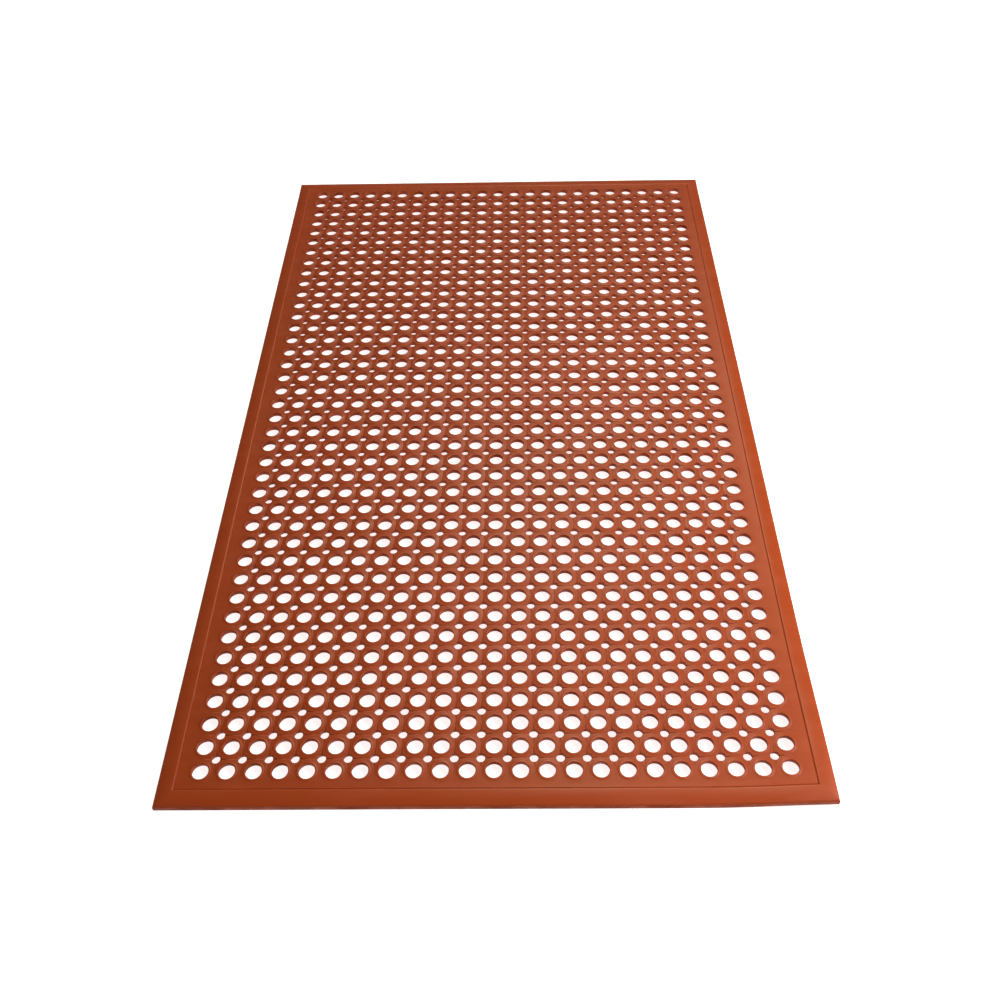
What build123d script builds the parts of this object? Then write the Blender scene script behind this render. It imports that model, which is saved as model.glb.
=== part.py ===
"""Drained anti-fatigue floor mat in moulded rubber: a perforated panel framed by four edge ramps.

Lengths are millimetres. The origin is on the floor under the middle of the mat, +X runs across
its width, +Y along its length and +Z up. Every piece is written to parts/ as its own STEP file.
"""

import os

from build123d import *

# ---- Driving dimensions ----
mat_length = 1524.0  # along Y, five feet
mat_width = 914.4  # along X, three feet
mat_height = 12.7  # floor to the highest rubber, half an inch

hole_pitch = 36.5  # from one drain hole to the next, both ways
hole_columns = 23  # drain holes across the width
hole_rows = 40  # drain holes along the length
drain_diameter = 22.5  # the large holes that stand on the grid
relief_diameter = 12.0  # the small hole in the middle of every four drain holes

rim_width = 3.25  # raised ring round each drain hole
rim_height = 0.6  # ring above the web between the holes
web_thickness = 8.2  # the perforated sheet itself
stud_diameter = 10.0  # feet that hold the sheet off the floor, so that water runs away under it

ramp_width = 25.0  # bevelled border, from the outline in to the panel
ramp_lip = 9.5  # thickness left at the very edge
crest_run = 2.2  # the step from the ramp's crest down to the panel, measured flat

seam_clearance = 2.0  # least distance from a seam of the panel's skin to a ring or hole

# ---- Worked out from them ----
half_pitch = hole_pitch / 2
drain_radius = drain_diameter / 2
relief_radius = relief_diameter / 2
rim_radius = drain_radius + rim_width
stud_radius = stud_diameter / 2
web_top = mat_height - rim_height
web_bottom = web_top - web_thickness
panel_width = mat_width - 2 * ramp_width
panel_length = mat_length - 2 * ramp_width
# Seams of the skin, measured back from a row of drain holes: beside a hole and beside a gap.
top_seam_crest = rim_radius + seam_clearance
top_seam_dip = half_pitch - relief_radius - seam_clearance
under_seam_crest = drain_radius + seam_clearance
under_seam_dip = (half_pitch - relief_radius + stud_radius) / 2


def spread(count):
    """Positions of a number of things one pitch apart, centred on zero."""
    return [(index - (count - 1) / 2) * hole_pitch for index in range(count)]


def grid(across, along):
    """Centres of a grid of things, one pitch apart both ways."""
    return [(x, y) for x in spread(across) for y in spread(along)]


def circle(radius, centre, height):
    """A level circle at a height."""
    return Edge.make_circle(radius, Plane((*centre, height)))


def round_wall(radius, centre, low, high):
    """An upright round wall between two heights."""
    return Face.extrude(circle(radius, centre, low), (0, 0, high - low))


def level_face(outline, openings):
    """A flat level face with round openings in it."""
    return Face(Wire(outline), [Wire(edge) for edge in openings])


def seam(row_y, crest, dip, height):
    """A zigzag line across the panel, behind one row of drain holes: over each hole, under each gap.

    It only divides a large flat face of the skin into strips, and runs clear of every opening.
    """
    count = 2 * hole_columns - 1
    xs = [(index - (count - 1) / 2) * half_pitch for index in range(count)]
    ys = [row_y + (dip if index % 2 else crest) for index in range(count)]
    edge = panel_width / 2
    return [(-edge, ys[0], height), *zip(xs, ys, [height] * count), (edge, ys[-1], height)]


def end_line(y, height):
    """The straight line across the panel at its front or back end."""
    return [(-panel_width / 2, y, height), (panel_width / 2, y, height)]


def level_skin(seams, openings, height):
    """A level side of the panel as strips between neighbouring seams, each with its openings."""
    strips = []
    for front, back, holes in zip(seams[:-1], seams[1:], openings):
        outline = Wire.make_polygon(front + back[::-1], close=True).edges()
        strips.append(level_face(outline, [circle(radius, at, height) for radius, at in holes]))
    return strips


def long_side(end, upper, lower):
    """The panel's left or right side, whose top and bottom edges meet the strips' ends."""
    top = [line[end] for line in upper]
    bottom = [line[end] for line in lower]
    return Face(Wire.make_polygon(top + bottom[::-1], close=True))


def perforated_panel():
    """The sheet with its holes, their raised rims and the studs under it, as one closed solid.

    Its skin is laid face by face and sewn: the top of the web, the underside, the four sides, and
    for each hole and stud the walls that join one level to the next.
    """
    ys = spread(hole_rows)
    drains = grid(hole_columns, hole_rows)
    reliefs = grid(hole_columns - 1, hole_rows - 1)
    studs = grid(hole_columns + 1, hole_rows)

    # Row by row: its drain holes and studs, and the small holes in front of it.
    row_drains = [[(x, y) for x in spread(hole_columns)] for y in ys]
    row_studs = [[(x, y) for x in spread(hole_columns + 1)] for y in ys]
    row_reliefs = [[]] + [[(x, y - half_pitch) for x in spread(hole_columns - 1)] for y in ys[1:]]

    def openings(drain_opening, with_studs):
        rows = []
        for large, feet, little in zip(row_drains, row_studs, row_reliefs):
            row = [(drain_opening, at) for at in large] + [(relief_radius, at) for at in little]
            rows.append(row + [(stud_radius, at) for at in feet if with_studs])
        return rows

    def lines(crest, dip, height):
        ends = panel_length / 2
        inner = [seam(y, crest, dip, height) for y in ys[:-1]]
        return [end_line(-ends, height), *inner, end_line(ends, height)]

    upper = lines(top_seam_crest, top_seam_dip, web_top)
    lower = lines(under_seam_crest, under_seam_dip, web_bottom)
    skin = level_skin(upper, openings(rim_radius, False), web_top)
    skin += level_skin(lower, openings(drain_radius, True), web_bottom)
    skin += [long_side(end, upper, lower) for end in (0, -1)]
    for end in (0, -1):
        skin.append(Face(Wire.make_polygon(upper[end] + lower[end][::-1], close=True)))
    for centre in drains:
        inner = circle(drain_radius, centre, mat_height)
        skin.append(round_wall(drain_radius, centre, web_bottom, mat_height))
        skin.append(round_wall(rim_radius, centre, web_top, mat_height))
        skin.append(level_face([circle(rim_radius, centre, mat_height)], [inner]))
    for centre in reliefs:
        skin.append(round_wall(relief_radius, centre, web_bottom, web_top))
    for centre in studs:
        skin.append(round_wall(stud_radius, centre, 0, web_bottom))
        skin.append(level_face([circle(stud_radius, centre, 0)], []))
    return Solid(Shell(skin))


def edge_ramp(run, reach, turn):
    """One bevelled edge of the border, cut at 45 degrees at both ends to meet its neighbours.

    Its section is a low wedge: a blunt outer edge, a gentle slope up to the crest, a short step
    down to the top of the panel, and a flat back that stands against the panel's side. It is made
    along the -X side of a mat of the given half width (reach), then turned to its own side.
    """
    section = [
        (0, 0),
        (0, ramp_lip),
        (ramp_width - crest_run, mat_height),
        (ramp_width, web_top),
        (ramp_width, 0),
    ]
    corners = [(x - reach, -run / 2, z) for x, z in section]
    ramp = Solid.extrude(Face(Wire.make_polygon(corners, close=True)), (0, run, 0))
    for end in (-1, 1):
        mitre = Plane(origin=(-reach, end * run / 2, 0), z_dir=(1, end, 0))
        ramp = split(ramp, bisect_by=mitre, keep=Keep.BOTTOM)
    return Rot(0, 0, turn) * ramp


pieces = {
    "perforated_panel": perforated_panel(),
    "ramp_left": edge_ramp(mat_length, mat_width / 2, 0),
    "ramp_right": edge_ramp(mat_length, mat_width / 2, 180),
    "ramp_front": edge_ramp(mat_width, mat_length / 2, 90),
    "ramp_back": edge_ramp(mat_width, mat_length / 2, -90),
}

os.makedirs("parts", exist_ok=True)
for name, piece in pieces.items():
    export_step(piece, f"parts/{name}.step")
    print(name, "volume", round(piece.volume), "valid", piece.is_valid)
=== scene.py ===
"""Visual model of a drained anti-fatigue floor mat in terracotta rubber.

The file is laid out as an add-on: its settings are property groups, each group of pieces has an
operator, and a sidebar panel lists them. Run as a script it builds the whole scene around the
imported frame. Lengths are metres, +X runs across the mat, +Y along it and +Z up from the floor.
"""

import math

import bpy
import numpy as np
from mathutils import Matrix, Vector


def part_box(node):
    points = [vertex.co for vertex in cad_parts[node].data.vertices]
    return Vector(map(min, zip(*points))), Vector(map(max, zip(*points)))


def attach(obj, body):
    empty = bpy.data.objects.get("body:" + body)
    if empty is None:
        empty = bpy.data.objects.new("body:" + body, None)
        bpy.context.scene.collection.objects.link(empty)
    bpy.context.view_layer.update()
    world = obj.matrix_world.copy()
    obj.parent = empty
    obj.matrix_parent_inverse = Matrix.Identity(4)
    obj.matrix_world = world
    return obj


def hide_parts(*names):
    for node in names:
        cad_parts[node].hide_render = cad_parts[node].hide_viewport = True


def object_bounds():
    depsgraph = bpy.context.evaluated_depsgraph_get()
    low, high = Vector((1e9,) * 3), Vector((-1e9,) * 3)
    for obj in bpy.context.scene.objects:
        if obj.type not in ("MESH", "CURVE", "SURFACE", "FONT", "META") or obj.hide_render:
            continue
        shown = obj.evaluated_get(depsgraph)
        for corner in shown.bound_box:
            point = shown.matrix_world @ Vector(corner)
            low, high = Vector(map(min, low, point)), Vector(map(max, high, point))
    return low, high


bl_info = {
    "name": "Drained Floor Mat",
    "version": (1, 0, 0),
    "blender": (4, 5, 0),
    "location": "3D View > Sidebar > Floor Mat",
    "description": "Builds a perforated rubber floor mat with raised rims, studs and edge ramps",
    "category": "Add Mesh",
}

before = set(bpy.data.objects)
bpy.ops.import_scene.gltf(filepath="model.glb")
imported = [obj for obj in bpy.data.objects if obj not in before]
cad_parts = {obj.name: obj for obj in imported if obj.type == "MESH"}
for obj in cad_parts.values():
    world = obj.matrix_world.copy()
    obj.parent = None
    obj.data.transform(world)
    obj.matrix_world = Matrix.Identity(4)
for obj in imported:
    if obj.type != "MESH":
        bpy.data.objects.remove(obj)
CAD_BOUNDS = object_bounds()
PANEL_LOW, PANEL_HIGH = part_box("perforated_panel")
MM = 0.001
GRAIN_DEPTH = 0.07 * MM
BODY = "root"
PANEL_NODE = "perforated_panel"
PANEL_SLOT = "panel_rubber"
RAMP_SLOT = "ramp_rubber"


# ---------------------------------------------------------------- settings

def length(name, description, default, low=0.0):
    """A length property in metres."""
    return bpy.props.FloatProperty(
        name=name, description=description, default=default, min=low, subtype="DISTANCE",
        unit="LENGTH", precision=5)


def share(name, description, default, high=1.0):
    """A plain number from zero up."""
    return bpy.props.FloatProperty(
        name=name, description=description, default=default, min=0.0, max=high, precision=3)


def colour(name, description, default):
    """A linear RGB colour."""
    return bpy.props.FloatVectorProperty(
        name=name, description=description, default=default, size=3, min=0.0, max=1.0,
        subtype="COLOR")


class MatShape(bpy.types.PropertyGroup):
    """Sizes of the perforated sheet, its studs and its border."""

    columns: bpy.props.IntProperty(
        name="Columns", description="Drain holes across the mat", default=23, min=2)
    rows: bpy.props.IntProperty(
        name="Rows", description="Drain holes along the mat", default=40, min=2)
    pitch: length("Pitch", "From one drain hole to the next, both ways", 36.5 * MM)
    drain: length("Drain hole", "Diameter of the large holes", 22.5 * MM)
    relief: length("Small hole", "Diameter of the hole between four drain holes", 12.0 * MM)
    web_top: length("Web top", "Height of the sheet's top between the holes", 12.1 * MM)
    web_bottom: length("Web underside", "Height of the sheet's underside", 3.9 * MM)
    draft: length("Draft", "How much further out a drain hole's wall stands at its foot", 1.5 * MM)
    rim_height: length("Rim height", "How far a hole's rim stands above the web", 0.6 * MM)
    rim_width: length("Rim width", "Width of the raised ring round each drain hole", 3.25 * MM)
    stud: length("Stud", "Diameter of the feet under the web", 10.0 * MM)
    lip: length("Ramp lip", "Thickness of the border at its very edge", 9.5 * MM)
    step: length("Crest step", "Width of the step from the border down to the web", 2.2 * MM)
    corner_lift: length("Corner lift", "How far the front right corner curls up", 9.0 * MM)
    groove: length("Groove", "Depth of the line between the border and the web", 0.6 * MM)
    back_lift: length("Back lift", "How far the back edge curls up", 1.5 * MM)
    wave: length("Wave", "Height of the gentle waves of a mat laid out flat", 0.8 * MM)


class MatFinish(bpy.types.PropertyGroup):
    """Colours and texture strengths of the rubber."""

    rubber: colour("Rubber", "Body colour of the rubber", (0.400, 0.058, 0.012))
    warm: colour("Warm patch", "Browner rubber in patches and hollows", (0.360, 0.058, 0.008))
    worn: colour("Worn rubber", "Paler rubber on raised and rubbed places", (0.490, 0.085, 0.024))
    # The colour that darkens hollows, hole walls, the underside, the studs, the border's groove and
    # the foot of its edge: partly dirt, partly painted shade.
    grime_and_shade: colour("Grime and shade", "Dirt that stays in the hollows", (0.160, 0.024, 0.005))
    roughness: share("Roughness", "Roughness of clean rubber", 0.32)
    shine: share("Shine", "How strongly clean rubber reflects", 0.31)
    grain: share("Grain", "Strength of the moulded grain", 0.35)


class MatStage(bpy.types.PropertyGroup):
    """Floor, light and camera."""

    floor: colour("Floor", "Colour of the studio floor", (0.86, 0.86, 0.86))
    floor_glow: share("Floor glow", "Light that the floor gives back by itself", 0.85, 2.0)
    back_power: bpy.props.FloatProperty(
        name="Back light", description="Power of the large light behind the mat", default=120.0,
        min=0.0, subtype="POWER", unit="POWER")
    top_power: bpy.props.FloatProperty(
        name="Top light", description="Power of the light above the mat", default=10.0,
        min=0.0, subtype="POWER", unit="POWER")
    side_power: bpy.props.FloatProperty(
        name="Side light", description="Power of the light at the right", default=36.0,
        min=0.0, subtype="POWER", unit="POWER")
    warm_light: colour("Warm light", "Colour of the lights behind and above", (1.0, 0.92, 0.70))
    side_light: colour("Side light colour", "Colour of the light at the right", (1.0, 0.97, 0.93))
    camera_place: bpy.props.FloatVectorProperty(
        name="Camera place", description="Where the camera stands", size=3,
        default=(0.0288, -1.3515, 1.2935), subtype="TRANSLATION", unit="LENGTH", precision=4)
    camera_turn: bpy.props.FloatVectorProperty(
        name="Camera turn", description="The camera's rotation", size=3,
        default=(math.radians(41.395), math.radians(0.855), math.radians(0.139)),
        subtype="EULER", unit="ROTATION")
    camera_lens: bpy.props.FloatProperty(
        name="Lens", description="Focal length on a 36 mm sensor", default=36.65, min=1.0,
        subtype="DISTANCE_CAMERA", unit="CAMERA")


# ---------------------------------------------------------------- surfaces

def smooth_step(low, high, value):
    """0 below low, 1 above high, and the cubic 3t^2 - 2t^3 between them, t being the way there."""
    t = np.clip((value - low) / (high - low), 0.0, 1.0)
    return t * t * (3.0 - 2.0 * t)


def laid_out(points, shape):
    """Points of a flat mat moved up to where the rubber lies when it is unrolled on a floor.

    Three lifts are added to the height: the front right corner curls up with the power 1.5 of a
    smooth step along the diagonal, the back edge rises with a smooth step over its last part, more
    at the right than at the left, and the product of two slow sine waves crosses the sheet.
    """
    half_x, half_y = CAD_BOUNDS[1].x, CAD_BOUNDS[1].y
    x, y = points[:, 0] / half_x, points[:, 1] / half_y
    corner = smooth_step(1.55, 2.0, x - y) ** 1.5 * shape.corner_lift
    more_at_right = 0.55 + 0.45 * smooth_step(-0.6, 0.3, x)
    back = smooth_step(0.93, 1.0, y) * more_at_right * shape.back_lift
    waves = (1.0 + np.sin(3.1 * x + 2.3 * y + 0.4) * np.cos(4.7 * y - 1.3 * x)) * shape.wave / 2
    lifted = points.copy()
    lifted[:, 2] += corner + back + waves
    return lifted


def make_mesh(name, points, faces, normals=None):
    """A mesh object from arrays of points and equal-sided faces, smooth shaded.

    normals holds one direction for each corner of each face; without it, edges over 35 degrees
    stay sharp and the rest are smooth.
    """
    sides = faces.shape[1]
    mesh = bpy.data.meshes.new(name)
    mesh.vertices.add(len(points))
    mesh.vertices.foreach_set("co", points.astype(np.float32).ravel())
    mesh.loops.add(faces.size)
    mesh.loops.foreach_set("vertex_index", faces.astype(np.int32).ravel())
    mesh.polygons.add(len(faces))
    mesh.polygons.foreach_set("loop_start", np.arange(0, faces.size, sides, dtype=np.int32))
    mesh.update(calc_edges=True)
    mesh.polygons.foreach_set("use_smooth", np.ones(len(faces), bool))
    if normals is None:
        mesh.set_sharp_from_angle(angle=math.radians(35))
    else:
        mesh.normals_split_custom_set(normals.reshape(-1, 3))
    piece = bpy.data.objects.new(name, mesh)
    bpy.context.scene.collection.objects.link(piece)
    return piece


def face_normals(points, faces):
    """Each face's normal, as long as twice its area, from the cross product of its diagonals."""
    a, b, c, d = (points[faces[:, i]] for i in range(4))
    return np.cross(c - a, d - b)


def unit(vectors):
    """The same directions with length one."""
    return vectors / np.maximum(np.linalg.norm(vectors, axis=-1, keepdims=True), 1e-12)


def point_value(piece, name, values):
    """Stores one number per point on a piece, for its material to read."""
    attribute = piece.data.attributes.new(name, "FLOAT", "POINT")
    attribute.data.foreach_set("value", values.astype(np.float32))


# Places round one cell, a square with a drain hole in its middle: for each quarter the middle of
# a side, then five places on a quarter of a small hole, or along the two sides of a plain corner.
ARC_STEPS = 4
PER_QUARTER = ARC_STEPS + 2
AROUND = 4 * PER_QUARTER


def cell_outline(half_left, half_right, half_front, half_back, has_relief, relief_radius):
    """The outline of every cell as an array of shape (cells, AROUND, 2) from its drain hole.

    Quarter by quarter, counter-clockwise from the middle of the right side: the side's middle,
    then five places round the corner. Where four cells share a small hole the five lie on its
    quarter circle, the corner less the radius times (sin, cos) of a quarter turn; elsewhere they
    run along the two sides.
    """
    cells = len(half_left)
    outline = np.zeros((cells, AROUND, 2))
    reach = [(half_right, half_back), (half_left, half_back), (half_left, half_front),
             (half_right, half_front)]
    turn = np.linspace(0.0, math.pi / 2, ARC_STEPS + 1)
    for quarter, (reach_x, reach_y) in enumerate(reach):
        sign_x = 1.0 if quarter in (0, 3) else -1.0
        sign_y = 1.0 if quarter in (0, 1) else -1.0
        # from the side that comes first round the cell to the side that comes next
        angle = turn if quarter in (0, 2) else turn[::-1]
        arc_x = reach_x[:, None] - relief_radius * np.sin(angle)
        arc_y = reach_y[:, None] - relief_radius * np.cos(angle)
        half_turn = np.clip(angle / (math.pi / 4), 0.0, 2.0)
        plain_x = reach_x[:, None] - relief_radius * np.clip(half_turn - 1.0, 0.0, 1.0)
        plain_y = reach_y[:, None] - relief_radius * np.clip(1.0 - half_turn, 0.0, 1.0)
        use_arc = has_relief[:, quarter][:, None]
        start = quarter * PER_QUARTER
        corner = slice(start + 1, start + PER_QUARTER)
        outline[:, corner, 0] = sign_x * np.where(use_arc, arc_x, plain_x)
        outline[:, corner, 1] = sign_y * np.where(use_arc, arc_y, plain_y)
        middle = [(half_right, 0.0), (0.0, half_back), (-half_left, 0.0), (0.0, -half_front)]
        outline[:, start, 0] = middle[quarter][0]
        outline[:, start, 1] = middle[quarter][1]
    return outline


def sheet(shape):
    """The whole perforated sheet as arrays.

    They are the points with their raised and hollow values, the faces in three sets (skin, walls
    and bottom), which walls are in small holes or on the border, each wall's side and each cell's
    row.

    Every drain hole has a square cell. A cell is rings of AROUND points: from the bottom of the
    hole up its wall, over the flat-topped rim with its rounded edges, out across the web to the
    cell's outline, and down to the outline on the underside. Cells share the points of their
    common sides, and the outer cells reach out to the ramps.
    """
    seed = np.random.default_rng(7)
    columns, rows, pitch = shape.columns, shape.rows, shape.pitch
    column, row = (a.ravel() for a in np.meshgrid(np.arange(columns), np.arange(rows)))
    centre_x = (column - (columns - 1) / 2) * pitch
    centre_y = (row - (rows - 1) / 2) * pitch
    cells = len(column)
    half = pitch / 2
    left = np.where(column == 0, centre_x - PANEL_LOW.x, half)
    right = np.where(column == columns - 1, PANEL_HIGH.x - centre_x, half)
    front = np.where(row == 0, centre_y - PANEL_LOW.y, half)
    back = np.where(row == rows - 1, PANEL_HIGH.y - centre_y, half)
    inside = [column < columns - 1, row < rows - 1, column > 0, row > 0]
    has_relief = np.stack([inside[0] & inside[1], inside[2] & inside[1],
                           inside[2] & inside[3], inside[0] & inside[3]], 1)
    outline = cell_outline(left, right, front, back, has_relief, shape.relief / 2)

    around = np.arange(AROUND) * 2 * math.pi / AROUND
    ring = np.stack([np.cos(around), np.sin(around)], 1)
    throat = shape.drain / 2 * (1.0 + 0.012 * seed.standard_normal(cells))
    shift = 0.12 * MM * seed.standard_normal((cells, 1, 2))
    outer = shape.drain / 2 + shape.rim_width
    top, web = shape.web_top + shape.rim_height, shape.web_top

    def circle(radius, height):
        """A ring round every drain hole."""
        flat = ring[None] * np.broadcast_to(radius, (cells,))[:, None, None] + shift
        return np.concatenate([flat, np.full((cells, AROUND, 1), height)], 2)

    edge = np.concatenate([outline, np.full((cells, AROUND, 1), web)], 2)
    on_arc = np.zeros((cells, AROUND), bool)
    for quarter in range(4):
        start = quarter * PER_QUARTER
        on_arc[:, start + 1:start + PER_QUARTER] = has_relief[:, quarter][:, None]
    inset = edge.copy()
    inset[:, :, :2] -= unit(outline) * 1.1 * MM
    edge[:, :, 2] -= np.where(on_arc, 0.8 * MM, 0.0)
    wide = cell_outline(left, right, front, back, has_relief, shape.relief / 2 + shape.draft)
    under = np.concatenate([wide, np.full((cells, AROUND, 1), shape.web_bottom)], 2)
    # each ring of a cell with how worn it is and how much dirt and painted shade darken it
    profile = [
        (circle(throat + shape.draft, shape.web_bottom), 0.0, 1.0),
        (circle(throat, top - 1.0 * MM), 0.0, 1.0),
        (circle(throat + 0.25 * MM, top - 0.3 * MM), 0.0, 0.6),
        (circle(throat + 0.8 * MM, top), 0.6, 0.0),
        (circle(outer - 1.4 * MM, top), 0.6, 0.0),
        (circle(outer - 0.5 * MM, top - 0.15 * MM), 0.3, 0.1),
        (circle(outer + 0.4 * MM, web + 0.15 * MM), 0.0, 0.3),
        (circle(outer + 1.4 * MM, web), 0.0, 0.25),
        (inset, 0.0, 0.25),
        (edge, 0.0, 0.25),
        (under, 0.0, 1.0),
    ]
    rings = [points for points, _, _ in profile]
    raised, hollow = (np.array([row[i] for row in profile]) for i in (1, 2))
    grid = np.stack(rings, 1)
    grid[..., 0] += centre_x[:, None, None]
    grid[..., 1] += centre_y[:, None, None]
    levels = grid.shape[1]

    index = np.arange(grid[..., 0].size).reshape(cells, levels, AROUND)
    after = np.roll(index, -1, axis=2)
    quads = np.stack([index[:, :-1], after[:, :-1], after[:, 1:], index[:, 1:]], -1)
    quads = quads[..., ::-1]
    skin = quads[:, :-1]
    walls = quads[:, -1]
    bottom = np.stack([index[:, -1], after[:, -1], after[:, 0], index[:, 0]], -1)[..., ::-1]
    # which stretches of a cell's outline belong to which side: 0 right, 1 back, 2 left, 3 front
    steps = np.arange(AROUND)
    to_corner_middle = 1 + ARC_STEPS // 2
    side = ((steps + PER_QUARTER - to_corner_middle) // PER_QUARTER) % 4
    arc_wall = on_arc & np.roll(on_arc, -1, axis=1) & (steps % PER_QUARTER != 0)
    on_border = ~np.stack(inside, 1)[:, side]
    return {
        "points": grid.reshape(-1, 3), "skin": skin, "walls": walls, "bottom": bottom,
        "arc_wall": arc_wall, "outer_wall": on_border & ~arc_wall, "side": side, "row": row,
        "raised": np.broadcast_to(raised[None, :, None], grid.shape[:3]).ravel(),
        "hollow": np.broadcast_to(hollow[None, :, None], grid.shape[:3]).ravel(),
    }


def merged(points):
    """One index for points that lie in the same place, to a hundredth of a millimetre."""
    keys = np.round(points / (0.01 * MM)).astype(np.int64)
    _, first, inverse = np.unique(keys, axis=0, return_index=True, return_inverse=True)
    return first, inverse.ravel()


def build_panel(shape, material, bands=4):
    """The sheet cut between rows of holes into closed bands, with shading that runs across them.

    The normals are worked out once on the whole sheet, as the area-weighted mean of the faces of
    its upper skin and hole walls, so that the bands meet without a visible seam.
    """
    made = sheet(shape)
    first, inverse = merged(made["points"])
    points = made["points"][first]
    skin, walls, bottom = (inverse[made[k]] for k in ("skin", "walls", "bottom"))
    upper = np.concatenate([skin.reshape(-1, 4), walls[made["arc_wall"]]])
    flat = face_normals(points, upper)
    total = np.zeros_like(points)
    for corner in range(4):
        np.add.at(total, upper[:, corner], flat)
    smooth = unit(total)

    raised, hollow = made["raised"][first], made["hollow"][first]
    margin_x = np.minimum(points[:, 0] - PANEL_LOW.x, PANEL_HIGH.x - points[:, 0])
    margin_y = np.minimum(points[:, 1] - PANEL_LOW.y, PANEL_HIGH.y - points[:, 1])
    near_hole = smooth_step(3 * MM, 9 * MM, np.minimum(margin_x, margin_y))
    # hole walls and the underside keep their full darkening, and the top fades out near the border:
    # dirt and painted shade
    hollow = hollow * np.where(points[:, 2] < shape.web_top - 0.6 * MM, 1.0, near_hole)
    lifted = laid_out(points, shape)

    pieces = []
    per_band = shape.rows // bands
    for band in range(bands):
        low, high = band * per_band, (band + 1) * per_band
        high = shape.rows if band == bands - 1 else high
        here = (made["row"] >= low) & (made["row"] < high)
        first_row, last_row = made["row"] == low, made["row"] == high - 1
        cut = (first_row[:, None] & (made["side"] == 3)) | (last_row[:, None] & (made["side"] == 1))
        flat_wall = (made["outer_wall"] | (cut & ~made["arc_wall"])) & here[:, None]
        groups = [
            (skin[here].reshape(-1, 4), True),
            (walls[made["arc_wall"] & here[:, None]], True),
            (walls[flat_wall], False),
            (bottom[here].reshape(-1, 4), False),
        ]
        faces = np.concatenate([g for g, _ in groups])
        normals = np.concatenate([
            smooth[g] if is_smooth else np.repeat(unit(face_normals(lifted, g))[:, None], 4, 1)
            for g, is_smooth in groups])
        used, local = np.unique(faces, return_inverse=True)
        piece = make_mesh(f"panel_band_{band + 1}", lifted[used], local.reshape(-1, 4), normals)
        point_value(piece, "raised", raised[used])
        point_value(piece, "hollow", hollow[used])
        piece.data.materials.append(material)
        pieces.append(piece)
    return pieces


def build_studs(shape, material):
    """Feet under the web, one between every two drain holes of a row and one past each end.

    Each is a surface of revolution: its radius narrows a little towards the floor, with a small
    chamfer round the foot, and its ends are closed by strips of quads.
    """
    sides = 12
    across = (np.arange(shape.columns + 1) - shape.columns / 2) * shape.pitch
    along = (np.arange(shape.rows) - (shape.rows - 1) / 2) * shape.pitch
    x, y = (a.ravel() for a in np.meshgrid(across, along))
    radius = shape.stud / 2
    profile = np.array([(radius * 0.9, 0.0), (radius * 0.97, 0.5 * MM),
                        (radius, shape.web_bottom + 0.4 * MM)])
    angle = np.arange(sides) * 2 * math.pi / sides
    ring = np.stack([np.cos(angle), np.sin(angle)], 1)
    rings = np.concatenate([profile[:, 0][:, None, None] * ring[None],
                            np.broadcast_to(profile[:, 1][:, None, None], (3, sides, 1))], 2)
    one = rings.reshape(-1, 3)
    index = np.arange(len(one)).reshape(3, sides)
    after = np.roll(index, -1, axis=1)
    wall = np.stack([index[:-1], after[:-1], after[1:], index[1:]], -1).reshape(-1, 4)
    strip = np.arange(sides // 2 - 1)
    # a flat round end as strips of quads between its left and right halves
    foot = np.stack([index[0][strip + 1], index[0][strip], index[0][-strip - 1],
                     index[0][-strip - 2]], -1)
    head = index[2][foot][:, ::-1]
    block = np.concatenate([wall, foot, head])
    points = (one[None] + np.stack([x, y, np.zeros_like(x)], 1)[:, None]).reshape(-1, 3)
    faces = (block[None] + (np.arange(len(x)) * len(one))[:, None, None]).reshape(-1, 4)
    piece = make_mesh("panel_studs", laid_out(points, shape), faces)
    point_value(piece, "raised", np.zeros(len(points)))
    # the studs are darkened all over, as dirt and painted shade under the sheet
    point_value(piece, "hollow", np.full(len(points), 0.6))
    piece.data.materials.append(material)
    return piece


def rounded(before, corner, after, cut):
    """Four points of a quadratic curve in place of a corner, starting and ending a cut from it."""
    start = corner + unit(before - corner) * cut
    end = corner + unit(after - corner) * cut
    t = np.array([[0.0], [0.33], [0.67], [1.0]])
    return (1 - t) ** 2 * start + 2 * t * (1 - t) * corner + t * t * end


def ramp_section(width, shape, height):
    """The border's section as (inset from the edge, height), a closed loop.

    From the blunt outer edge the top rises by 1 - (1 - t)^2 of the way to the crest, so that it is
    almost level there. The step goes down into the groove, and the back stands just inside the
    panel's side. Every corner that shows is rounded.
    """
    run = width - shape.step
    t = np.linspace(0.16, 0.94, 8)
    slope = np.stack([t * run, shape.lip + (height - shape.lip) * (1 - (1 - t) ** 2)], 1)
    back, foot = width + 0.4 * MM, shape.web_top - shape.groove
    outer_low, outer_top, crest, step_foot, inner_foot, inner_low = np.array([
        (0.0, 0.0), (0.0, shape.lip), (run, height), (width - 0.3 * MM, foot), (back, foot),
        (back, 0.0)])
    return np.concatenate([
        rounded(inner_low, outer_low, outer_top, 0.4 * MM),
        rounded(outer_low, outer_top, slope[0], 2.4 * MM),
        slope,
        rounded(slope[-1], crest, step_foot, 0.7 * MM),
        rounded(crest, step_foot, inner_foot, 0.3 * MM),
        [inner_foot, inner_low],
    ])


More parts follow.
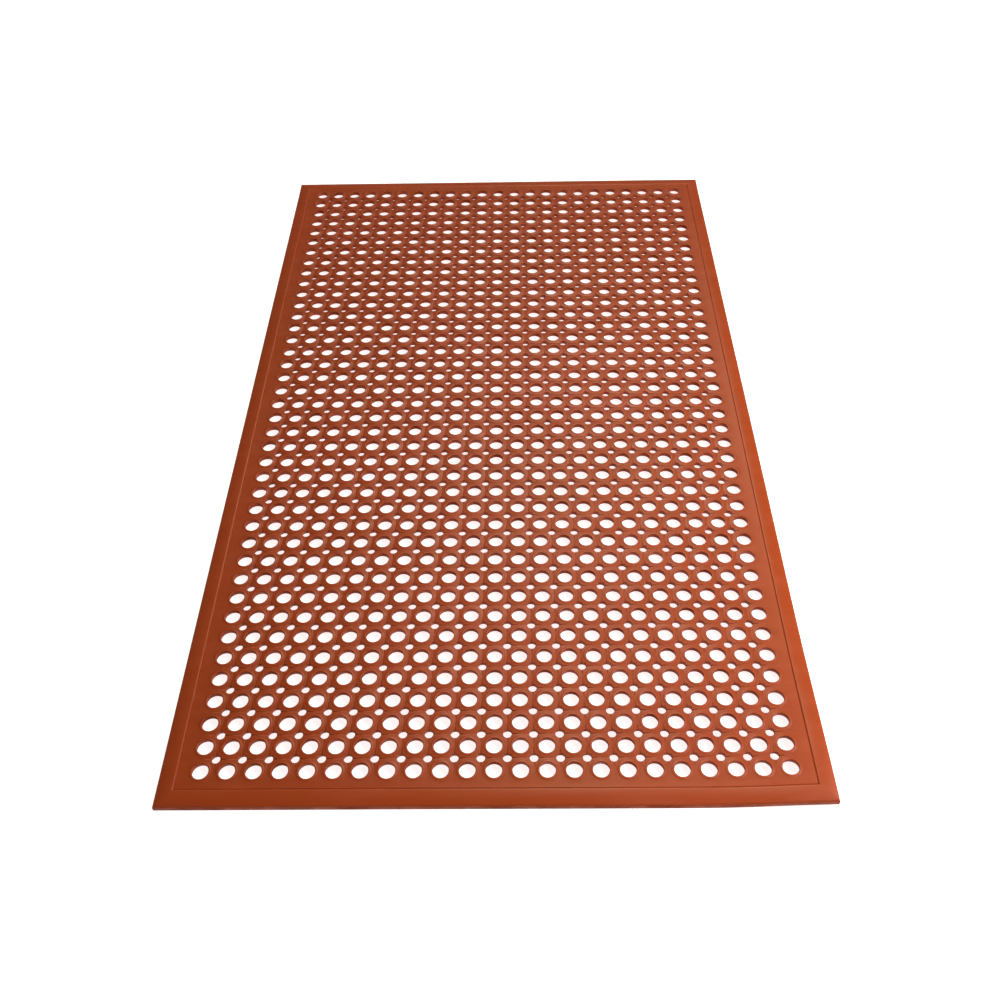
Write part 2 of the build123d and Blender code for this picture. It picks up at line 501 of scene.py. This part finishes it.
def build_ramp(node, shape, material, turn, run, reach, stations=97):
    """One side of the border: its section carried along the side and mitred at both ends.

    A point of the section at inset d runs from end to end of a line shortened by d at both ends,
    which gives the 45 degree mitres. The surface is a grid of stations along the side by points
    of the section, and each end is closed by strips of quads across the section.
    """
    width, top = CAD_BOUNDS[1].x - PANEL_HIGH.x, CAD_BOUNDS[1].z
    section = ramp_section(width, shape, top)
    count = len(section)
    along = np.linspace(-1.0, 1.0, stations)
    inset, height = section[:, 0], section[:, 1]
    x = np.broadcast_to(inset - reach, (stations, count))
    y = along[:, None] * (run / 2 - inset)[None]
    z = np.broadcast_to(height, (stations, count))
    flat = np.stack([x, y, z], -1).reshape(-1, 3)
    cosine, sine = math.cos(turn), math.sin(turn)
    turned = np.stack([flat[:, 0] * cosine - flat[:, 1] * sine,
                       flat[:, 0] * sine + flat[:, 1] * cosine, flat[:, 2]], 1)
    index = np.arange(stations * count).reshape(stations, count)
    after = np.roll(index, -1, axis=1)
    sides = np.stack([index[:-1], after[:-1], after[1:], index[1:]], -1).reshape(-1, 4)
    strip = np.arange(count // 2 - 1)
    cap = np.stack([index[0][count - strip - 1], index[0][count - strip - 2],
                    index[0][strip + 1], index[0][strip]], -1)
    far = cap[:, ::-1] + (stations - 1) * count
    piece = make_mesh(node + "_rubber", laid_out(turned, shape), np.concatenate([sides, cap, far]))
    crest_inset = width - shape.step
    crest = smooth_step(crest_inset - 1.5 * MM, crest_inset, inset)
    below = height.max() - height
    # the groove and the foot of the outer edge are darkened, as dirt and painted shade
    in_groove = smooth_step(0.1 * MM, shape.groove, below) * (inset > crest_inset)
    low = 1.0 - smooth_step(shape.lip - 1.5 * MM, shape.lip, height)
    point_value(piece, "raised", np.tile(crest * (1.0 - 0.5 * in_groove), stations))
    point_value(piece, "hollow", np.tile(np.maximum(low, 0.5 * in_groove), stations))
    piece.data.materials.append(material)
    return piece


# ---------------------------------------------------------------- materials

def new_group(name, inputs, outputs):
    """An empty shader node group with named sockets, as (group, input node, output node)."""
    group = bpy.data.node_groups.new(name, "ShaderNodeTree")
    for label, kind, default in inputs:
        socket = group.interface.new_socket(label, in_out="INPUT", socket_type=kind)
        if default is not None:
            socket.default_value = default
    for label, kind in outputs:
        group.interface.new_socket(label, in_out="OUTPUT", socket_type=kind)
    return group, group.nodes.new("NodeGroupInput"), group.nodes.new("NodeGroupOutput")


def add_node(tree, kind, links=None, **values):
    """A node with its properties set; links maps its input names to sockets or plain values."""
    node = tree.nodes.new(kind)
    for key, value in values.items():
        setattr(node, key, value)
    for key, source in (links or {}).items():
        if isinstance(source, bpy.types.NodeSocket):
            tree.links.new(source, node.inputs[key])
        else:
            node.inputs[key].default_value = source
    return node


def noise(tree, coordinates, scale, detail=3.0, roughness=0.55):
    """Fractal noise on the given coordinates, from 0 to 1."""
    links = {"Vector": coordinates, "Scale": scale, "Detail": detail, "Roughness": roughness}
    return add_node(tree, "ShaderNodeTexNoise", links).outputs["Fac"]


def remap(tree, value, low, high, to_low=0.0, to_high=1.0):
    """A value moved from one range to another and held inside it."""
    links = {"Value": value, "From Min": low, "From Max": high, "To Min": to_low,
             "To Max": to_high}
    return add_node(tree, "ShaderNodeMapRange", links).outputs["Result"]


def math_node(tree, operation, a, b=0.5, c=0.0):
    """One arithmetic step."""
    return add_node(tree, "ShaderNodeMath", {0: a, 1: b, 2: c}, operation=operation).outputs[0]


def blend_colour(tree, factor, a, b, blend="MIX"):
    """Two colours mixed by a factor."""
    node = add_node(tree, "ShaderNodeMix", data_type="RGBA", blend_type=blend)
    # the colour form of the node keeps its factor and its two colours at these three inputs
    for socket, source in ((node.inputs[0], factor), (node.inputs[6], a), (node.inputs[7], b)):
        if isinstance(source, bpy.types.NodeSocket):
            tree.links.new(source, socket)
        else:
            socket.default_value = source
    return node.outputs[2]


def grain_group():
    """Rubber grain: a height of fine moulded pimples over a slow ripple, and a pigment fleck mask."""
    inputs = [("Vector", "NodeSocketVector", None), ("Fine Scale", "NodeSocketFloat", 900.0),
              ("Ripple Scale", "NodeSocketFloat", 45.0)]
    group, start, end = new_group("rubber_grain", inputs, [
        ("Height", "NodeSocketFloat"), ("Fleck", "NodeSocketFloat")])
    place = start.outputs["Vector"]
    fine = noise(group, place, start.outputs["Fine Scale"], 2.0)
    ripple = noise(group, place, start.outputs["Ripple Scale"], 3.0)
    height = math_node(group, "MULTIPLY_ADD", ripple, 0.5, fine)
    fleck = remap(group, fine, 0.62, 0.78)
    group.links.new(height, end.inputs["Height"])
    group.links.new(fleck, end.inputs["Fleck"])
    return group


def mottle_group():
    """Slow colour drift of a large moulding: a broad patch mask and a smaller smear mask."""
    group, start, end = new_group("rubber_mottle", [
        ("Vector", "NodeSocketVector", None), ("Scale", "NodeSocketFloat", 3.0)], [
        ("Patch", "NodeSocketFloat"), ("Smear", "NodeSocketFloat")])
    place = start.outputs["Vector"]
    scale = start.outputs["Scale"]
    broad = noise(group, place, scale, 3.0)
    stretch = add_node(group, "ShaderNodeMapping", {"Vector": place, "Scale": (1.0, 3.5, 1.0),
                                                    "Rotation": (0.0, 0.0, 0.5)})
    smear = noise(group, stretch.outputs["Vector"], math_node(group, "MULTIPLY", scale, 6.0), 5.0)
    group.links.new(remap(group, broad, 0.35, 0.65), end.inputs["Patch"])
    group.links.new(remap(group, smear, 0.45, 0.72), end.inputs["Smear"])
    return group


def wear_and_shade_group():
    """Where rubber is rubbed, and where soiling and painted shade darken it: the piece's raised and
    hollow values broken up by noise.
    """
    group, start, end = new_group("rubber_wear_and_shade", [
        ("Vector", "NodeSocketVector", None), ("Raised", "NodeSocketFloat", 0.0),
        ("Hollow", "NodeSocketFloat", 0.0)], [
        ("Worn", "NodeSocketFloat"), ("Dirt and shade", "NodeSocketFloat")])
    patchy = noise(group, start.outputs["Vector"], 60.0, 4.0)
    worn = math_node(group, "MULTIPLY", start.outputs["Raised"], remap(group, patchy, 0.3, 0.6))
    # dirt and painted shade: the hollow values, with noise taking some of the darkening away
    dirt_and_shade_breakup = noise(group, start.outputs["Vector"], 28.0, 4.0)
    left = remap(group, dirt_and_shade_breakup, 0.3, 0.65, 0.35)
    dirt_and_shade = math_node(group, "MULTIPLY", start.outputs["Hollow"], left)
    group.links.new(worn, end.inputs["Worn"])
    group.links.new(dirt_and_shade, end.inputs["Dirt and shade"])
    return group


def place_group(tree, name, maker, links):
    """A shared node group placed in a material, made the first time it is asked for."""
    group = bpy.data.node_groups.get(name) or maker()
    node = tree.nodes.new("ShaderNodeGroup")
    node.node_tree = group
    for key, source in links.items():
        if isinstance(source, bpy.types.NodeSocket):
            tree.links.new(source, node.inputs[key])
        else:
            node.inputs[key].default_value = source
    return node.outputs


def rubber_material(name, finish, worn_amount, dirt_and_shade_amount, patch_scale):
    """Terracotta rubber: patchy body colour, paler rubbed places, hollows darkened by soiling and
    painted shade, fine grain.

    Each layer covers the colour below it by its mask times its amount. The mask of soiling and
    painted shade also makes the rubber rougher and less shiny.
    """
    material = bpy.data.materials.new(name)
    material.use_nodes = True
    tree = material.node_tree
    shader = tree.nodes["Principled BSDF"]
    place = add_node(tree, "ShaderNodeTexCoord").outputs["Object"]
    raised = add_node(tree, "ShaderNodeAttribute", attribute_name="raised").outputs["Fac"]
    hollow = add_node(tree, "ShaderNodeAttribute", attribute_name="hollow").outputs["Fac"]
    grain = place_group(tree, "rubber_grain", grain_group, {"Vector": place})
    mottle = place_group(tree, "rubber_mottle", mottle_group, {"Vector": place, "Scale": patch_scale})
    wear_and_shade = place_group(tree, "rubber_wear_and_shade", wear_and_shade_group, {
        "Vector": place, "Raised": raised, "Hollow": hollow})
    layers = [
        (mottle["Patch"], 0.55, finish.warm), (mottle["Smear"], 0.18, finish.worn),
        # the dark layer is partly dirt and partly painted shade in hollows, hole walls and the groove
        (wear_and_shade["Worn"], worn_amount, finish.worn), (wear_and_shade["Dirt and shade"], dirt_and_shade_amount, finish.grime_and_shade),
        (grain["Fleck"], 0.12, finish.worn),
    ]
    tint = (*finish.rubber, 1.0)
    for mask, amount, layer_colour in layers:
        cover = math_node(tree, "MULTIPLY", mask, amount)
        tint = blend_colour(tree, cover, tint, (*layer_colour, 1.0))
    tree.links.new(tint, shader.inputs["Base Color"])
    smeared = remap(tree, mottle["Smear"], 0.0, 1.0, finish.roughness, finish.roughness + 0.12)
    rough = math_node(tree, "MULTIPLY_ADD", wear_and_shade["Dirt and shade"], 0.3, smeared)
    shine = math_node(tree, "MULTIPLY_ADD", wear_and_shade["Dirt and shade"], -0.9 * finish.shine, finish.shine)
    tree.links.new(shine, shader.inputs["Specular IOR Level"])
    tree.links.new(rough, shader.inputs["Roughness"])
    bump = add_node(tree, "ShaderNodeBump", {
        "Height": grain["Height"], "Strength": finish.grain, "Distance": GRAIN_DEPTH})
    tree.links.new(bump.outputs["Normal"], shader.inputs["Normal"])
    shader.inputs["Sheen Weight"].default_value = 0.02
    shader.inputs["Sheen Roughness"].default_value = 0.5
    return material


def floor_material(stage):
    """Matt studio floor that gives back a little light, so that the holes look as pale as it."""
    material = bpy.data.materials.new("studio_floor")
    material.use_nodes = True
    shader = material.node_tree.nodes["Principled BSDF"]
    shader.inputs["Base Color"].default_value = (*stage.floor, 1.0)
    shader.inputs["Roughness"].default_value = 0.9
    shader.inputs["Specular IOR Level"].default_value = 0.0
    shader.inputs["Emission Color"].default_value = (1.0, 1.0, 1.0, 1.0)
    shader.inputs["Emission Strength"].default_value = stage.floor_glow
    return material


# ---------------------------------------------------------------- operators

def settle(piece, node=PANEL_NODE):
    """Puts a finished piece on its body and hides the imported part that it takes the place of."""
    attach(piece, BODY)
    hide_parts(node)


class MAT_OT_build_panel(bpy.types.Operator):
    """Build the perforated sheet with its raised hole rims"""

    bl_idname = "mat.build_panel"
    bl_label = "Perforated Sheet"

    def execute(self, context):
        scene = context.scene
        material = rubber_material(PANEL_SLOT, scene.mat_finish, 0.18, 0.85, 2.6)
        for piece in build_panel(scene.mat_shape, material):
            settle(piece)
        return {"FINISHED"}


class MAT_OT_build_studs(bpy.types.Operator):
    """Build the studs that hold the sheet off the floor"""

    bl_idname = "mat.build_studs"
    bl_label = "Studs"

    def execute(self, context):
        material = bpy.data.materials[PANEL_SLOT]
        settle(build_studs(context.scene.mat_shape, material))
        return {"FINISHED"}


class MAT_OT_build_ramps(bpy.types.Operator):
    """Build the four mitred edge ramps"""

    bl_idname = "mat.build_ramps"
    bl_label = "Edge Ramps"

    def execute(self, context):
        scene = context.scene
        material = rubber_material(RAMP_SLOT, scene.mat_finish, 0.4, 0.85, 2.2)
        width, depth = 2 * CAD_BOUNDS[1].x, 2 * CAD_BOUNDS[1].y
        sides = [
            ("ramp_left", 0.0, depth, width / 2), ("ramp_right", math.pi, depth, width / 2),
            ("ramp_front", math.pi / 2, width, depth / 2),
            ("ramp_back", -math.pi / 2, width, depth / 2),
        ]
        for node, turn, run, reach in sides:
            piece = build_ramp(node, scene.mat_shape, material, turn, run, reach)
            settle(piece, node)
        return {"FINISHED"}


def area_light(name, place, aim, size, power, tint):
    """A rectangular soft light at a place, facing a point."""
    lamp = bpy.data.lights.new(name, "AREA")
    lamp.shape = "RECTANGLE"
    lamp.size, lamp.size_y = size
    lamp.energy = power
    lamp.color = tint
    holder = bpy.data.objects.new(name, lamp)
    holder.location = place
    holder.rotation_euler = (Vector(aim) - Vector(place)).to_track_quat("-Z", "Y").to_euler()
    bpy.context.scene.collection.objects.link(holder)


class MAT_OT_build_stage(bpy.types.Operator):
    """Set the floor, the lights, the world and the camera"""

    bl_idname = "mat.build_stage"
    bl_label = "Studio"

    def execute(self, context):
        scene = context.scene
        stage = scene.mat_stage
        half = 12.0
        corners = np.array([(-half, -half, 0), (half, -half, 0), (half, half, 0), (-half, half, 0)])
        floor = make_mesh("studio_floor", corners, np.array([[0, 1, 2, 3]]))
        floor.data.materials.append(floor_material(stage))
        # each light's place, the point it faces and its two sides
        area_light("back_softbox", (0.56, 3.66, 4.53), (0.15, -0.24, 0.0), (1.5, 1.2),
                   stage.back_power, stage.warm_light)
        area_light("side_softbox", (1.5, -0.7, 1.2), (0.1, -0.2, 0.0), (1.2, 1.2),
                   stage.side_power, stage.side_light)
        area_light("top_softbox", (0.5, 0.6, 2.8), (0.1, 0.1, 0.0), (0.8, 0.8),
                   stage.top_power, stage.warm_light)
        world = bpy.data.worlds.new("studio_world")
        world.use_nodes = True
        background = world.node_tree.nodes["Background"]
        background.inputs["Color"].default_value = (1.0, 1.0, 1.0, 1.0)
        background.inputs["Strength"].default_value = 0.05
        scene.world = world
        camera = bpy.data.cameras.new("camera")
        camera.sensor_width = 36.0
        camera.lens = stage.camera_lens
        camera.clip_start, camera.clip_end = 0.01, 60.0
        holder = bpy.data.objects.new("camera", camera)
        holder.location = stage.camera_place
        holder.rotation_euler = stage.camera_turn
        scene.collection.objects.link(holder)
        scene.camera = holder
        scene.view_settings.view_transform = "Standard"
        return {"FINISHED"}


class MAT_PT_sidebar(bpy.types.Panel):
    """Lists the mat's operators and settings"""

    bl_label = "Floor Mat"
    bl_space_type = "VIEW_3D"
    bl_region_type = "UI"
    bl_category = "Floor Mat"

    def draw(self, context):
        layout = self.layout
        for operator in OPERATORS:
            layout.operator(operator.bl_idname)
        for settings in (context.scene.mat_shape, context.scene.mat_finish, context.scene.mat_stage):
            box = layout.box()
            for key in settings.__annotations__:
                box.prop(settings, key)


OPERATORS = (MAT_OT_build_panel, MAT_OT_build_studs, MAT_OT_build_ramps, MAT_OT_build_stage)
SETTINGS = {"mat_shape": MatShape, "mat_finish": MatFinish, "mat_stage": MatStage}


def register():
    """Registers the settings, operators and panel."""
    for group in SETTINGS.values():
        bpy.utils.register_class(group)
    for name, group in SETTINGS.items():
        setattr(bpy.types.Scene, name, bpy.props.PointerProperty(type=group))
    for operator in OPERATORS:
        bpy.utils.register_class(operator)
    bpy.utils.register_class(MAT_PT_sidebar)


def unregister():
    """Removes what register added."""
    bpy.utils.unregister_class(MAT_PT_sidebar)
    for operator in reversed(OPERATORS):
        bpy.utils.unregister_class(operator)
    for name in SETTINGS:
        delattr(bpy.types.Scene, name)
    for group in reversed(list(SETTINGS.values())):
        bpy.utils.unregister_class(group)


def main():
    register()
    bpy.ops.mat.build_panel()
    bpy.ops.mat.build_studs()
    bpy.ops.mat.build_ramps()
    bpy.ops.mat.build_stage()


if __name__ == "__main__":
    main()
